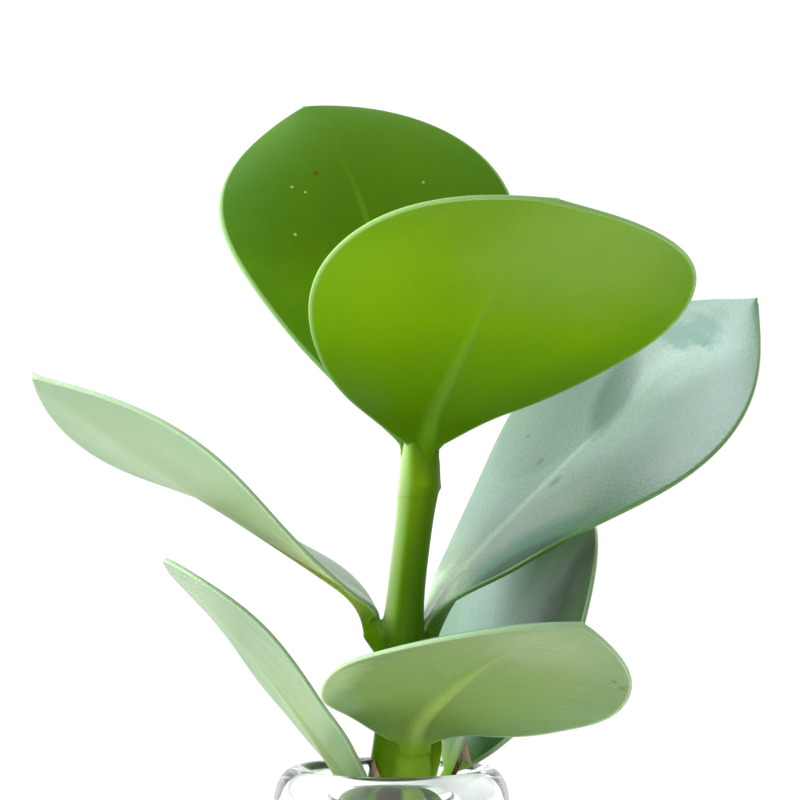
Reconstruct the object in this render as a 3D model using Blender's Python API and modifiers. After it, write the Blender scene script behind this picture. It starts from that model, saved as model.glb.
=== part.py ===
"""A young clusia shoot that stands in water in a clear glass bottle.

The origin is the centre of the bottle's flat base, +Z is up, and -Y faces the viewer.
All sizes are in metres.
"""

from dataclasses import dataclass
from math import cos, pi, sin

import bmesh
import bpy
import numpy as np
from mathutils import Vector

MM = 0.001

# Clearances between separate solids
GAP = 0.3 * MM
WATER_GAP = 0.4 * MM

# Bottle: a thick rolled lip on a straight neck, a round shoulder and a plain body
LIP_DIAMETER = 45 * MM
MOUTH_DIAMETER = 28.6 * MM
BOTTLE_HEIGHT = 120 * MM
LIP_RISE = 6.5 * MM
NECK_WALL = 4 * MM
NECK_BOTTOM = 95 * MM
SHOULDER_BOTTOM = 66 * MM
BODY_DIAMETER = 66 * MM
BODY_WALL = 3 * MM
BASE_THICKNESS = 5 * MM
HEEL_RADIUS = 5 * MM
INNER_HEEL_RADIUS = 4 * MM
BOTTLE_SIDES = 40
SHOULDER_POINTS = 7
LIP_POINTS = 9
LIP_UNDERSIDE_START = -25
LIP_UNDERSIDE_POINTS = 4
HEEL_POINTS = 4
MERGE = 0.01 * MM

# Water
WATER_LEVEL = 84 * MM

# Stem: it leans in the bottle and above it, and swells at each pair of leaf stalks
STEM_TOP = 174 * MM
STEM_RADIUS = 3.55 * MM
STEM_SIDES_RESOLUTION = 4
STEM_POINTS = 44
STEM_ROUTE = (
    # height, across, towards the back
    (6.6 * MM, -5.0 * MM, 2.0 * MM),
    (60 * MM, -3.0 * MM, 1.2 * MM),
    (104 * MM, -0.6 * MM, 0.4 * MM),
    (124 * MM, 0.55 * MM, 0),
    (143 * MM, 1.8 * MM, 0),
    (157 * MM, 3.1 * MM, 0),
    (174 * MM, 5.2 * MM, 0),
)
STEM_SWELLINGS = (
    # height, added radius, reach along the stem
    (174.5 * MM, 0.35 * MM, 5 * MM),
    (143 * MM, 0.7 * MM, 6 * MM),
    (114 * MM, 1.0 * MM, 10 * MM),
    (70 * MM, 0.9 * MM, 45 * MM),
)

# Leaves: thickness, and the stalk that runs on under the blade as a rib
BLADE_THICKNESS = 1.15 * MM
MARGIN_THICKNESS = 0.85 * MM
MARGIN_POWER = 4
STALK_LENGTH = 8 * MM
STALK_DEPTH = 4.2 * MM
STALK_BEND_END = 0.22
STALK_HEEL_END = 0.05
STALK_ROUND_END = 0.2
STALK_ROUND_POWER = 0.5
CHANNEL_END = 0.4
RIB_POWER = 2
RIB_NARROWING = 0.55
RIB_NARROW_FROM = 0.5

# Leaves: how finely they are divided, with shorter steps at the stalk, the tip and the rib
LEAF_STATIONS = 20
LEAF_COLUMNS = 11
STATION_POWER = 1.4
COLUMN_POWER = 1.6
LAST_STATION = 0.99
CENTRE_LINE_STEPS = 200


@dataclass(frozen=True)
class Leaf:
    """One leaf: where its stalk starts, how its centre line runs, and how its blade is cut and cupped.

    Angles are in degrees. Pairs give the value at the stalk and at the tip. The channel folds the blade
    up more on both sides of its stalk.
    """

    name: str
    base: tuple
    azimuth: float
    sweep: float
    start: float
    rise: float
    curl: float
    length: float
    width: float
    roll: tuple
    fold: tuple
    cup: tuple
    wedge: float
    rounding: float
    tip: float
    lean: float = 0.0
    stalk_width: float = 5.6 * MM
    stalk_length: float = STALK_LENGTH
    stalk_depth: float = STALK_DEPTH
    stalk_heel: float = 0.35
    channel: float = 0.0
    rib_runout: float = 2.2


LEAVES = (
    Leaf(
        name="leaf_top_back",
        base=(3.8 * MM, 0.6 * MM, 173.4 * MM),
        azimuth=116, sweep=4.5, start=87, rise=74, curl=-49,
        length=92.7 * MM, width=59.7 * MM,
        roll=(-7, -19), fold=(14, 0), cup=(13, 18), channel=18,
        wedge=0.8, rounding=1.46, tip=0.63, lean=-0.05,
        stalk_width=6.6 * MM, stalk_depth=3.4 * MM, stalk_heel=1,
    ),
    Leaf(
        name="leaf_top_front",
        base=(6.2 * MM, -0.5 * MM, 173.4 * MM),
        azimuth=-74.3, sweep=3.8, start=98, rise=32.4, curl=-12.3,
        length=95 * MM, width=69.7 * MM,
        roll=(0.5, -8), fold=(1, 7), cup=(15, 12), channel=11,
        wedge=0.65, rounding=2.33, tip=0.57, lean=0.03,
        stalk_width=6.8 * MM, stalk_depth=3.4 * MM, stalk_heel=1,
    ),
    Leaf(
        name="leaf_middle_left",
        base=(-0.9 * MM, -0.8 * MM, 141.3 * MM),
        azimuth=200.6, sweep=-1, start=84, rise=29, curl=9.6,
        length=90.5 * MM, width=67 * MM,
        roll=(-20, 13), fold=(9, 9), cup=(14, 10), channel=4,
        wedge=0.64, rounding=2.62, tip=1.12, lean=0.02,
        stalk_depth=4.16 * MM, rib_runout=3.5,
    ),
    Leaf(
        name="leaf_middle_right",
        base=(2.95 * MM, 0.8 * MM, 140.8 * MM),
        azimuth=10.9, sweep=0, start=69.7, rise=45.7, curl=-10.4,
        length=99.5 * MM, width=67.4 * MM,
        roll=(3, 30.5), fold=(6, 8), cup=(15, 12.5),
        wedge=0.81, rounding=3, tip=1.13,
        stalk_depth=4.5 * MM,
    ),
    Leaf(
        name="leaf_low_back",
        base=(3.6 * MM, 2.2 * MM, 111.9 * MM),
        azimuth=32.2, sweep=-30.2, start=27.7, rise=66.6, curl=-15.6,
        length=67.9 * MM, width=66.2 * MM,
        roll=(-7, 21), fold=(-1.5, 15), cup=(25, -5.5), channel=7.5,
        wedge=0.65, rounding=2.83, tip=0.54, lean=-0.06,
        stalk_width=5.2 * MM, stalk_length=11 * MM, stalk_depth=2.2 * MM,
    ),
    Leaf(
        name="leaf_low_front",
        base=(4 * MM, -2.4 * MM, 117.2 * MM),
        azimuth=-71, sweep=8.2, start=103, rise=24, curl=-17,
        length=87.2 * MM, width=54.8 * MM,
        roll=(-11.6, -14.6), fold=(-5.7, -6.6), cup=(16.4, 20.2), channel=16.6,
        wedge=0.59, rounding=1.58, tip=0.59, lean=-0.1,
        stalk_width=7.6 * MM, stalk_depth=3.8 * MM,
    ),
    Leaf(
        name="leaf_low_left",
        base=(-0.8 * MM, -0.5 * MM, 108.5 * MM),
        azimuth=172.4, sweep=-6, start=50.5, rise=55.2, curl=-16,
        length=66 * MM, width=61.5 * MM,
        roll=(25.5, 15.5), fold=(13, 5), cup=(14, 10.7), channel=41.5,
        wedge=0.94, rounding=2.59, tip=0.51, lean=0.13,
        stalk_width=6.6 * MM, stalk_length=5 * MM, stalk_depth=3 * MM,
    ),
)

# Dry bud scales at the mouth: outlines across and up, and the plane that each stands in
BUD_SCALE_THICKNESS = 0.9 * MM
BUD_SCALE_RIGHT_Y = -0.3 * MM
BUD_SCALE_RIGHT = (
    (11.3 * MM, 118.2 * MM),
    (12.2 * MM, 118.2 * MM),
    (13.7 * MM, 121.4 * MM),
    (14.5 * MM, 121.2 * MM),
    (14.9 * MM, 120.4 * MM),
    (15.4 * MM, 120.6 * MM),
    (14.9 * MM, 122.6 * MM),
    (14.2 * MM, 125.0 * MM),
    (13.5 * MM, 123.6 * MM),
)
BUD_SCALE_LEFT_Y = -4.3 * MM
BUD_SCALE_LEFT = (
    (-4.8 * MM, 121.7 * MM),
    (-4.2 * MM, 120.3 * MM),
    (-3.7 * MM, 118.8 * MM),
    (-3.2 * MM, 117.6 * MM),
    (-2.2 * MM, 117.6 * MM),
    (-2.1 * MM, 118.8 * MM),
    (-2.8 * MM, 120.2 * MM),
    (-3.2 * MM, 121.8 * MM),
)


def remove_startup_objects():
    """Clear the scene."""
    for item in list(bpy.data.objects):
        bpy.data.objects.remove(item, do_unlink=True)


def make_collection(name):
    """Add a collection to the scene."""
    collection = bpy.data.collections.new(name)
    bpy.context.scene.collection.children.link(collection)
    return collection


def make_material(name, colour, roughness, transmission=0.0, ior=1.45):
    """A Principled material with one colour."""
    material = bpy.data.materials.new(name)
    material.use_nodes = True
    shader = material.node_tree.nodes["Principled BSDF"]
    shader.inputs["Base Color"].default_value = (*colour, 1)
    shader.inputs["Roughness"].default_value = roughness
    shader.inputs["Metallic"].default_value = 0
    shader.inputs["Transmission Weight"].default_value = transmission
    shader.inputs["IOR"].default_value = ior
    return material


def new_object(name, data, collection, material=None):
    """Link an object with its material."""
    item = bpy.data.objects.new(name, data)
    collection.objects.link(item)
    if material:
        data.materials.append(material)
    return item


def shade_round(mesh, angle=40):
    """Smooth shading with sharp edges kept."""
    mesh.shade_smooth()
    mesh.set_sharp_from_angle(angle=angle * pi / 180)


def arc(centre_r, centre_z, radius_r, radius_z, start, end, count):
    """Points on an ellipse in the profile's plane, angles in degrees from outwards, anticlockwise."""
    angles = [start + (end - start) * i / (count - 1) for i in range(count)]
    return [
        (centre_r + radius_r * cos(a * pi / 180), centre_z + radius_z * sin(a * pi / 180))
        for a in angles
    ]


def shoulder(neck_radius, body_radius, count):
    """Points down a round shoulder, between a neck and a body."""
    points = []
    for i in range(count):
        share = i / (count - 1)
        radius = neck_radius + (body_radius - neck_radius) * (1 - cos(pi * share)) / 2
        points.append((radius, NECK_BOTTOM + (SHOULDER_BOTTOM - NECK_BOTTOM) * share))
    return points


def turned(name, profile, collection, material):
    """A solid of revolution about Z. The profile runs down the outer side."""
    mesh = bpy.data.meshes.new(name)
    edges = [(i, i + 1) for i in range(len(profile) - 1)]
    mesh.from_pydata([(r, 0, z) for r, z in profile], edges, [])
    item = new_object(name, mesh, collection, material)
    screw = item.modifiers.new("Turn", "SCREW")
    screw.axis = "Z"
    screw.steps = BOTTLE_SIDES
    screw.render_steps = BOTTLE_SIDES
    screw.use_merge_vertices = True
    screw.merge_threshold = MERGE
    screw.use_smooth_shade = True
    return item


def make_bottle(collection, material):
    """The bottle, from its inner floor up to the mouth, over the lip and down the outside."""
    body_radius = BODY_DIAMETER / 2
    mouth_radius = MOUTH_DIAMETER / 2
    inner_body_radius = body_radius - BODY_WALL
    lip_width = (LIP_DIAMETER - MOUTH_DIAMETER) / 2
    lip_centre = mouth_radius + lip_width / 2
    lip_height = BOTTLE_HEIGHT - LIP_RISE
    inner_heel = INNER_HEEL_RADIUS
    floor_radius = inner_body_radius - inner_heel
    heel_height = BASE_THICKNESS + inner_heel
    foot_radius = body_radius - HEEL_RADIUS
    lip = (lip_centre, lip_height, lip_width / 2, LIP_RISE)
    profile = [(0, BASE_THICKNESS)]
    profile += arc(floor_radius, heel_height, inner_heel, inner_heel, -90, 0, HEEL_POINTS)
    profile += reversed(shoulder(mouth_radius, inner_body_radius, SHOULDER_POINTS))
    profile += arc(*lip, 180, 0, LIP_POINTS)
    profile += arc(*lip, LIP_UNDERSIDE_START, -90, LIP_UNDERSIDE_POINTS)
    profile += shoulder(mouth_radius + NECK_WALL, body_radius, SHOULDER_POINTS)
    profile += arc(foot_radius, HEEL_RADIUS, HEEL_RADIUS, HEEL_RADIUS, 0, -90, HEEL_POINTS)
    profile += [(0, 0)]
    return turned("bottle", profile, collection, material)


def make_water(collection, material, stem_room):
    """The water, from the middle of its surface down to the floor, less the hole for the stem."""
    inner_body_radius = BODY_DIAMETER / 2 - BODY_WALL
    floor_radius = inner_body_radius - INNER_HEEL_RADIUS
    heel_height = BASE_THICKNESS + INNER_HEEL_RADIUS
    water_heel = INNER_HEEL_RADIUS - WATER_GAP
    wall = shoulder(MOUTH_DIAMETER / 2, inner_body_radius, SHOULDER_POINTS)
    above = [point for point in wall if point[1] >= WATER_LEVEL][-1]
    below = [point for point in wall if point[1] < WATER_LEVEL]
    share = (above[1] - WATER_LEVEL) / (above[1] - below[0][1])
    level_radius = above[0] + (below[0][0] - above[0]) * share
    profile = [(0, WATER_LEVEL), (level_radius - WATER_GAP, WATER_LEVEL)]
    profile += [(r - WATER_GAP, z) for r, z in below]
    profile += arc(floor_radius, heel_height, water_heel, water_heel, 0, -90, HEEL_POINTS)
    profile += [(0, BASE_THICKNESS + WATER_GAP)]
    water = turned("water", profile, collection, material)
    cut = water.modifiers.new("Stem hole", "BOOLEAN")
    cut.operation = "DIFFERENCE"
    cut.object = stem_room
    return water


def stem_centre(height):
    """The stem's axis at a height, on a smooth curve through its route."""
    heights = np.array([row[0] for row in STEM_ROUTE])
    places = np.array([row[1:] for row in STEM_ROUTE])
    slopes = np.gradient(places, heights, axis=0)
    i = int(np.clip(np.searchsorted(heights, height) - 1, 0, len(heights) - 2))
    span = heights[i + 1] - heights[i]
    s = (height - heights[i]) / span
    start, end = places[i], places[i + 1]
    across = start + (end - start) * s**2 * (3 - 2 * s)
    across = across + span * s * (1 - s) * (slopes[i] * (1 - s) - slopes[i + 1] * s)
    return Vector((across[0], across[1], height))


def stem_radius(height):
    """The stem's radius at a height, with its swollen nodes."""
    swelling = sum(size * np.exp(-(((height - at) / reach) ** 2)) for at, size, reach in STEM_SWELLINGS)
    return STEM_RADIUS + swelling


def stem_curve(name, grow, collection):
    """The stem as a bevelled curve, its radius and its ends grown by a clearance."""
    curve = bpy.data.curves.new(name, "CURVE")
    curve.dimensions = "3D"
    curve.bevel_depth = STEM_RADIUS
    curve.bevel_resolution = STEM_SIDES_RESOLUTION
    curve.use_fill_caps = True
    spline = curve.splines.new("POLY")
    spline.points.add(STEM_POINTS - 1)
    low = STEM_ROUTE[0][0]
    for i, point in enumerate(spline.points):
        height = low + (STEM_TOP - low) * i / (STEM_POINTS - 1)
        place = stem_centre(height)
        if i == 0:
            place.z -= grow
        if i == STEM_POINTS - 1:
            place.z += grow
        point.co = (*place, 1)
        point.radius = (stem_radius(height) + grow) / STEM_RADIUS
    return new_object(name, curve, collection)


def curve_to_mesh(item, collection, material=None):
    """Swap a curve object for a mesh object with its caps welded."""
    graph = bpy.context.evaluated_depsgraph_get()
    mesh = bpy.data.meshes.new_from_object(item.evaluated_get(graph))
    body = bmesh.new()
    body.from_mesh(mesh)
    bmesh.ops.remove_doubles(body, verts=body.verts, dist=MERGE)
    bmesh.ops.recalc_face_normals(body, faces=body.faces)
    body.to_mesh(mesh)
    body.free()
    name = item.name
    matrix = item.matrix_world.copy()
    bpy.data.objects.remove(item)
    solid = new_object(name, mesh, collection, material)
    solid.matrix_world = matrix
    shade_round(mesh)
    return solid


def blade_share(leaf, along):
    """The half width at a share of the blade's length, as a share of the greatest half width."""
    peak = (leaf.wedge / (leaf.wedge + leaf.tip * leaf.rounding)) ** (1 / leaf.rounding)
    greatest = peak**leaf.wedge * (1 - peak**leaf.rounding) ** leaf.tip
    along = np.clip(along, 0, 1)
    return along**leaf.wedge * (1 - along**leaf.rounding) ** leaf.tip / greatest


def leaf_centre_line(leaf, stations):
    """Places, side directions and upward directions along a leaf, at shares of its length."""
    t = np.linspace(0, 1, CENTRE_LINE_STEPS + 1)
    bend = np.clip(1 - t / STALK_BEND_END, 0, 1)
    bend = bend**2 * (3 - 2 * bend)
    elevation = np.radians(leaf.rise + (leaf.start - leaf.rise) * bend + leaf.curl * t**2)
    azimuth = np.radians(leaf.azimuth + leaf.sweep * t)
    outward = np.stack([np.cos(azimuth), np.sin(azimuth), 0 * azimuth], 1)
    ahead = np.cos(elevation)[:, None] * outward
    ahead[:, 2] = np.sin(elevation)
    steps = (ahead[1:] + ahead[:-1]) / 2 * leaf.length / CENTRE_LINE_STEPS
    places = np.array(leaf.base) + np.vstack([np.zeros(3), np.cumsum(steps, axis=0)])
    level = np.stack([-np.sin(azimuth), np.cos(azimuth), 0 * azimuth], 1)
    upward = np.cross(ahead, level)
    roll = np.radians(leaf.roll[0] + (leaf.roll[1] - leaf.roll[0]) * t)[:, None]
    side = np.cos(roll) * level + np.sin(roll) * upward
    normal = np.cos(roll) * upward - np.sin(roll) * level

    def at_stations(rows):
        return np.stack([np.interp(stations, t, rows[:, k]) for k in range(3)], 1)

    return at_stations(places), at_stations(side), at_stations(normal)


def leaf_sections(leaf):
    """A ring of points at each station: the upper face from margin to margin, and the underside back."""
    spread = np.linspace(0, LAST_STATION, LEAF_STATIONS)
    t = np.sin(spread * pi / 2) ** STATION_POWER
    u = np.linspace(-1, 1, LEAF_COLUMNS)
    u = np.sign(u) * np.abs(u) ** COLUMN_POWER
    places, side, normal = leaf_centre_line(leaf, t)
    stalk = leaf.stalk_length / leaf.length
    stalk_half = leaf.stalk_width / 2 * np.sqrt(1 - t)
    rings = []
    blade_half = leaf.width / 2 * blade_share(leaf, (t - stalk) / (1 - stalk))
    for i, along in enumerate(t):
        blade = blade_half[i] * (1 + np.sign(u) * leaf.lean)
        half = np.sqrt(blade**2 + stalk_half[i] ** 2)
        channel = leaf.channel * max(1 - along / CHANNEL_END, 0) ** 2
        fold = (leaf.fold[0] + (leaf.fold[1] - leaf.fold[0]) * along + channel) * pi / 180
        cup = (leaf.cup[0] + (leaf.cup[1] - leaf.cup[0]) * along) * pi / 180
        across = half * (sin(fold) - np.sin(fold - cup * np.abs(u))) / cup
        height = half * (np.cos(fold - cup * np.abs(u)) - cos(fold)) / cup
        upper = places[i] + (np.sign(u) * across)[:, None] * side[i] + height[:, None] * normal[i]
        lower = upper - leaf_thickness(leaf, along, u, across, half)[:, None] * normal[i]
        rings.append(np.vstack([upper, lower[::-1]]))
    return rings


def leaf_thickness(leaf, along, u, across, half):
    """The thickness across a leaf: a deep stalk that runs out into a rib under a thin blade."""
    rib_half = leaf.stalk_width / 2 * (1 - RIB_NARROWING * min(along / RIB_NARROW_FROM, 1))
    near = np.clip(1 - (across / np.minimum(rib_half, half)) ** 2, 0, 1)
    flattening = min(along / STALK_ROUND_END, 1)
    rib = near ** (STALK_ROUND_POWER + (RIB_POWER - STALK_ROUND_POWER) * flattening)
    heel = leaf.stalk_heel + (1 - leaf.stalk_heel) * min(along / STALK_HEEL_END, 1)
    depth = leaf.stalk_depth * heel * (1 - along) ** leaf.rib_runout
    blade = MARGIN_THICKNESS + (BLADE_THICKNESS - MARGIN_THICKNESS) * (1 - np.abs(u) ** MARGIN_POWER)
    return blade + max(depth - MARGIN_THICKNESS * (1 - along), 0) * rib


def loft(name, rings, collection, material):
    """A closed solid through rings of points, split into triangles alike on both faces."""
    count = len(rings[0])
    columns = count // 2
    body = bmesh.new()
    rows = [[body.verts.new(point) for point in ring] for ring in rings]
    for near, far in zip(rows, rows[1:]):
        for k in range(count):
            n = (k + 1) % count
            if k < columns:
                body.faces.new((near[k], near[n], far[n]))
                body.faces.new((near[k], far[n], far[k]))
            else:
                body.faces.new((near[k], near[n], far[k]))
                body.faces.new((near[n], far[n], far[k]))
    for row, flip in ((rows[0], True), (rows[-1], False)):
        for k in range(columns - 1):
            quad = (row[k], row[k + 1], row[count - 2 - k], row[count - 1 - k])
            body.faces.new(quad[::-1] if flip else quad)
    bmesh.ops.recalc_face_normals(body, faces=body.faces)
    mesh = bpy.data.meshes.new(name)
    body.to_mesh(mesh)
    body.free()
    shade_round(mesh)
    return new_object(name, mesh, collection, material)


def make_leaf(leaf, collection, material, stem_room):
    """A leaf whose stalk is cut back to the stem's surface."""
    item = loft(leaf.name, leaf_sections(leaf), collection, material)
    cut = item.modifiers.new("Seat on stem", "BOOLEAN")
    cut.operation = "DIFFERENCE"
    cut.object = stem_room
    return item


def make_bud_scale(name, outline, depth, collection, material):
    """A dry bud scale: a flat outline that stands in a plane facing the viewer."""
    curve = bpy.data.curves.new(name, "CURVE")
    curve.dimensions = "2D"
    curve.fill_mode = "BOTH"
    curve.extrude = BUD_SCALE_THICKNESS / 2
    spline = curve.splines.new("POLY")
    spline.points.add(len(outline) - 1)
    spline.use_cyclic_u = True
    for point, (across, height) in zip(spline.points, outline):
        point.co = (across, height, 0, 1)
    item = new_object(name, curve, collection)
    item.location = (0, depth, 0)
    item.rotation_euler = (pi / 2, 0, 0)
    bpy.context.view_layer.update()
    return curve_to_mesh(item, collection, material)


def main():
    """Build the bottle, the water, the stem, the leaves and the bud scales."""
    remove_startup_objects()
    parts = make_collection("clusia_in_bottle")
    cutters = make_collection("cutters")
    glass = make_material("Clear soda-lime glass", (0.9, 0.95, 0.93), 0.02, transmission=1.0, ior=1.52)
    water = make_material("Still water", (0.92, 0.97, 0.97), 0.01, transmission=1.0, ior=1.33)
    stem = make_material("Green stem skin", (0.19, 0.34, 0.03), 0.42)
    young = make_material("Young clusia leaf", (0.18, 0.38, 0.02), 0.4)
    mature = make_material("Mature clusia leaf", (0.30, 0.46, 0.25), 0.38)
    dry = make_material("Dry bud scale", (0.20, 0.13, 0.09), 0.8)

    stem_room = curve_to_mesh(stem_curve("stem_room", GAP, cutters), cutters)
    stem_room.hide_render = True
    stem_room.display_type = "WIRE"
    curve_to_mesh(stem_curve("stem", 0, parts), parts, stem)
    make_bottle(parts, glass)
    make_water(parts, water, stem_room)
    for leaf in LEAVES:
        skin = young if leaf.name.startswith("leaf_top") else mature
        make_leaf(leaf, parts, skin, stem_room)
    make_bud_scale("bud_scale_left", BUD_SCALE_LEFT, BUD_SCALE_LEFT_Y, parts, dry)
    make_bud_scale("bud_scale_right", BUD_SCALE_RIGHT, BUD_SCALE_RIGHT_Y, parts, dry)


main()
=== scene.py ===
"""Looks for a young clusia shoot that stands in water in a clear glass bottle.

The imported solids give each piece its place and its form. Here each one is replaced by a finer piece
of the same form: leaves with rounded margins, ribs and veins, a stem whose stalks grow out of it,
and glass and water whose surfaces meet as real ones do. All sizes are in metres.
"""

import logging
from dataclasses import dataclass, field, replace
from enum import Enum
from math import cos, pi, radians, sin
from typing import Any

import bpy
import numpy as np
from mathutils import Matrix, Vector


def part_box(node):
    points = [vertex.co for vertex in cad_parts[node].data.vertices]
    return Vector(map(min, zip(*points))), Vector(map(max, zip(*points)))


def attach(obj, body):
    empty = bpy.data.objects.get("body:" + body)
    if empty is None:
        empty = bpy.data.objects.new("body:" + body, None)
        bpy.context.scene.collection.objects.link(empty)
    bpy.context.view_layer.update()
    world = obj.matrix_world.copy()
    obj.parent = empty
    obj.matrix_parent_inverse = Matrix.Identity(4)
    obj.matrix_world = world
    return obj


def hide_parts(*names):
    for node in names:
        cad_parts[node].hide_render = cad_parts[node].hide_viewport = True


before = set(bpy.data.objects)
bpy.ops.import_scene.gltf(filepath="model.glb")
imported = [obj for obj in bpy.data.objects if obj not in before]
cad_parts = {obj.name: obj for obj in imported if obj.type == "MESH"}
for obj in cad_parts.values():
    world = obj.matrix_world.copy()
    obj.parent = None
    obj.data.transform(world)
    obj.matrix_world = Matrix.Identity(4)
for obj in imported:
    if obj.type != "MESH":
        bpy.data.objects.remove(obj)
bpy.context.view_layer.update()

Socket = bpy.types.NodeSocket
Pair = tuple[float, float]
Triple = tuple[float, float, float]
Stops = tuple[tuple[float, str], ...]

log = logging.getLogger("clusia")

MM = 0.001

# The photograph: its width, the lip's width and the places of the bottle's axis and the lip's crest
PHOTO_WIDTH_PX = 800
LIP_WIDTH_PX = 235
BOTTLE_AXIS_PX = 391.6
LIP_CREST_PX = 767
VIEW_DISTANCE = 660 * MM
SENSOR_MM = 36

# Bottle, as in the solids
LIP_DIAMETER = 45 * MM
MOUTH_DIAMETER = 28.6 * MM
LIP_RISE = 6.5 * MM
NECK_WALL = 4 * MM
NECK_BOTTOM = 95 * MM
SHOULDER_BOTTOM = 66 * MM
BODY_WALL = 3 * MM
BASE_THICKNESS = 5 * MM
HEEL_RADIUS = 5 * MM
INNER_HEEL_RADIUS = 4 * MM

# Stem, as in the solids: height, across, towards the back
STEM_RADIUS = 3.55 * MM
STEM_ROUTE = (
    (6.6 * MM, -5.0 * MM, 2.0 * MM),
    (60 * MM, -3.0 * MM, 1.2 * MM),
    (104 * MM, -0.6 * MM, 0.4 * MM),
    (124 * MM, 0.55 * MM, 0.0),
    (143 * MM, 1.8 * MM, 0.0),
    (157 * MM, 3.1 * MM, 0.0),
    (174 * MM, 5.2 * MM, 0.0),
)
STEM_SWELLINGS = (
    # height, added radius, reach along the stem
    (174.5 * MM, 0.35 * MM, 5 * MM),
    (143 * MM, 0.7 * MM, 6 * MM),
    (114 * MM, 1.0 * MM, 10 * MM),
    (70 * MM, 0.9 * MM, 45 * MM),
)

# A stalk's root inside the stem: its size as a share of the foot's, and how far behind the foot it is
STALK_ROOT = ((0.3, 6 * MM), (0.6, 3.5 * MM), (0.88, 1.2 * MM))

# Where the low stalks run down along the stem, in millimetres: from, by way of, to, and their radius
SPURS = (
    ((-2.0, -0.3, 90.0), (-7.5, -1.2, 100.0), (-9.0, -1.5, 117.5), 2.4),
    ((2.0, 0.8, 90.0), (8.5, 3.0, 99.0), (10.0, 3.6, 116.0), 1.8),
    ((1.0, -0.6, 90.0), (4.0, -2.6, 100.0), (4.4, -2.8, 118.0), 2.6),
    ((2.5, 0.5, 110.0), (6.4, 1.5, 116.0), (7.6, 2.2, 127.0), 2.7),
)

# What every colour mix and every smooth change of a number has in common
MIX = {"data_type": "RGBA", "out": 2}
SMOOTH = {"interpolation_type": "SMOOTHSTEP"}


def linear(hex_colour: str) -> tuple[float, float, float, float]:
    """Turn an sRGB hex value into linear light.

    Args:
        hex_colour: Six hex digits.

    Returns:
        Red, green, blue and an alpha of one.
    """
    shares = [int(hex_colour[i:i + 2], 16) / 255 for i in (0, 2, 4)]
    light = [s / 12.92 if s <= 0.04045 else ((s + 0.055) / 1.055) ** 2.4 for s in shares]
    return (*light, 1.0)


class Graph:
    """A material's or a world's node tree."""

    def __init__(self, owner: bpy.types.Material | bpy.types.World) -> None:
        """Empty a node tree.

        Args:
            owner: What the tree belongs to.
        """
        owner.use_nodes = True
        self.tree = owner.node_tree
        self.tree.nodes.clear()

    def add_node(
        self, kind: str, inputs: dict | tuple = (), out: int | str = 0, stops: Stops = (), **settings: Any
    ) -> Socket | None:
        """Add a node with its settings and links.

        Args:
            kind: The node's type, without "ShaderNode".
            inputs: Values, hex colours or other nodes' sockets, in order or by the input's name or number.
            out: The name or number of the output that is wanted.
            stops: A colour ramp's places, from 0 to 1, and their hex colours.
            **settings: The node's own properties.

        Returns:
            The output, or nothing from the node that ends a tree.
        """
        node = self.tree.nodes.new("ShaderNode" + kind)
        for name, value in settings.items():
            setattr(node, name, value)
        for name, value in inputs.items() if isinstance(inputs, dict) else enumerate(inputs):
            if isinstance(value, Socket):
                self.tree.links.new(value, node.inputs[name])
            else:
                node.inputs[name].default_value = linear(value) if isinstance(value, str) else value
        for i, (place, colour) in enumerate(stops):
            elements = node.color_ramp.elements
            element = elements[i] if i < len(elements) else elements.new(1.0)
            element.position = place
            element.color = linear(colour)
        return node.outputs[out] if node.outputs else None

    def uneven(self, place: Socket, size: float, detail: float = 2.0, stretch: Triple = (1, 1, 1)) -> Socket:
        """An uneven pattern of a real size.

        Args:
            place: The place on the surface, in metres.
            size: About how wide its patches are.
            detail: How many finer layers it has.
            stretch: How many times longer its patches are in each direction.

        Returns:
            A number around one half.
        """
        scale = tuple(1 / (size * s) for s in stretch)
        scaled = self.add_node("VectorMath", (place, scale), operation="MULTIPLY")
        return self.add_node("TexNoise", {"Vector": scaled, "Scale": 1.0, "Detail": detail}, "Fac")

    def reach(self, place: Socket, middle: Triple, size: Triple, turn: float = 0.0) -> Socket:
        """How far a place is from an ellipsoid's middle.

        Args:
            place: The place.
            middle: The ellipsoid's middle.
            size: Its half sizes.
            turn: Its angle about Z in radians.

        Returns:
            A share of the way to the ellipsoid's skin.
        """
        inputs = {"Vector": place, "Location": middle, "Rotation": (0, 0, turn), "Scale": size}
        local = self.add_node("Mapping", inputs, vector_type="TEXTURE")
        return self.add_node("VectorMath", (local,), "Value", operation="LENGTH")

    def overlaid(self, colour: Socket, layers: list[tuple[Socket, str | Socket]]) -> Socket:
        """Lay colours over a colour, one after another.

        Args:
            colour: The colour below.
            layers: For each layer, how much of it shows, and its colour.

        Returns:
            The colour that is seen.
        """
        for amount, other in layers:
            colour = self.add_node("Mix", {0: amount, 6: colour, 7: other}, **MIX)
        return colour


def new_material(name: str) -> tuple[bpy.types.Material, Graph, Socket]:
    """Make an empty material.

    Args:
        name: The real material and how its surface was made.

    Returns:
        The material, its graph, and the surface's place in metres.
    """
    material = bpy.data.materials.new(name)
    graph = Graph(material)
    return material, graph, graph.add_node("TexCoord", (), "Object")


def smooth_step(values: np.ndarray, low: float, high: float) -> np.ndarray:
    """Rise smoothly from 0 at low to 1 at high. High may be the smaller one."""
    share = np.clip((values - low) / (high - low), 0, 1)
    return share**2 * (3 - 2 * share)


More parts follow.
